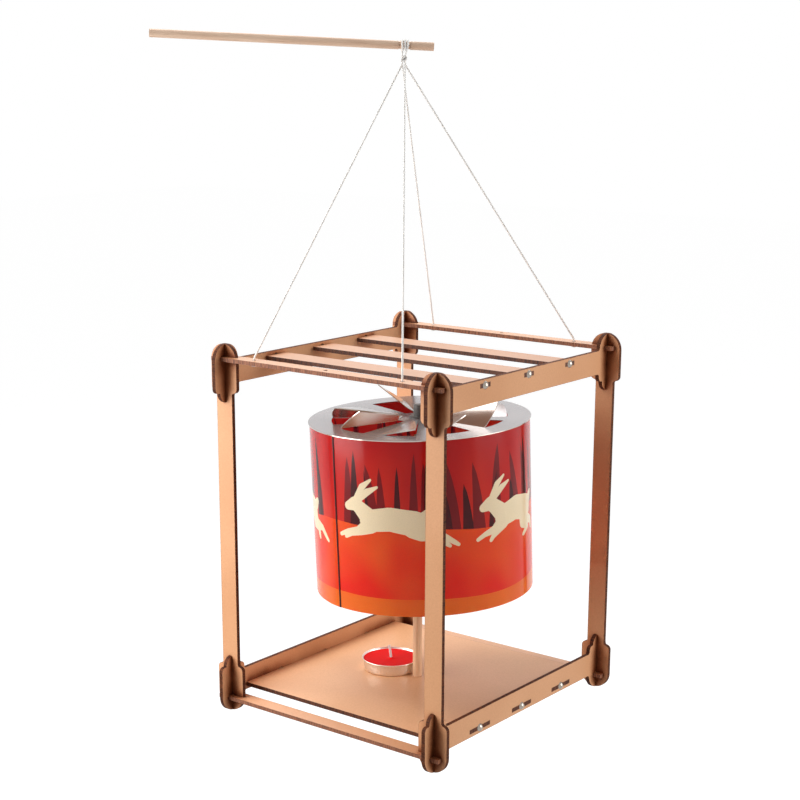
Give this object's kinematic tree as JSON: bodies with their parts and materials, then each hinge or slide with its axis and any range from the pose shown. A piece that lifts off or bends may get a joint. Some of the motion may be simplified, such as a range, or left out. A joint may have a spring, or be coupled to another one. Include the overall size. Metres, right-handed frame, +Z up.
{
  "type": "lantern zoetrope",
  "caption": "Hanging lantern zoetrope: slotted board frame on strings and a stick, with a picture drum that turns on a needle under a foil turbine above a tealight.",
  "frame": {"origin": "on the axis of the carrying stick, in the middle of its plain grip", "axes": "+Z up; +X from the left to the right side beams, along the roof slats; +Y from front to back"},
  "size_m": [0.2147, 0.2052, 0.4204],
  "materials": {
    "hardboard": "laser-cut hardboard with charred edges",
    "pole_wood": "plain turned dowel",
    "stick_wood": "plain turned dowel",
    "string": "twisted white cotton",
    "pin_steel": "bright round-head pins",
    "needle_steel": "polished needle",
    "film": "printed translucent film",
    "foil": "satin foil",
    "bearing": "dark moulded cup",
    "candle_metal": "thin pressed cup",
    "wax": "red candle wax",
    "wick": "braided wick"
  },
  "bodies": {
    "stick": {"carrying_stick": "stick_wood"},
    "lantern": {"stick_winding": "string", "gather_knot": "string", "string_front_left": "string", "string_front_right": "string", "string_back_left": "string", "string_back_right": "string", "stopper_knots": "string", "post_front_left": "hardboard", "post_front_right": "hardboard", "post_back_left": "hardboard", "post_back_right": "hardboard", "top_beam_left": "hardboard", "top_beam_right": "hardboard", "base_beam_left": "hardboard", "base_beam_right": "hardboard", "top_bar_front": "hardboard", "top_bar_back": "hardboard", "base_bar_front": "hardboard", "base_bar_back": "hardboard", "roof_slat_front": "hardboard", "roof_slat_middle": "hardboard", "roof_slat_back": "hardboard", "floor_plate": "hardboard", "top_pins_left": "pin_steel", "top_pins_right": "pin_steel", "base_pins_left": "pin_steel", "base_pins_right": "pin_steel", "centre_pole": "pole_wood", "needle": "needle_steel"},
    "drum": {"drum_film": "film", "turbine_disc": "foil", "bearing_cup": "bearing"},
    "tealight": {"candle_cup": "candle_metal", "candle_wax": "wax", "candle_wick": "wick", "wick_foot": "pin_steel"}
  },
  "joints": [
    {"name": "lantern_swing", "type": "hinge", "parent": "stick", "child": "lantern", "pos_m": [0.05892, 0.04944, -0.00363], "axis": [0.7652, 0.6421, -0.0471], "range_deg": [-25, 25]},
    {"name": "drum_spin", "type": "hinge", "parent": "lantern", "child": "drum", "pos_m": [0.06658, 0.05587, -0.22258], "axis": [-0.0302, -0.0236, 0.9993], "continuous": true},
    {"name": "tealight_slide", "type": "slide", "parent": "lantern", "child": "tealight", "axis": [0, -1, 0], "range_m": [0, 0.13]}
  ]
}
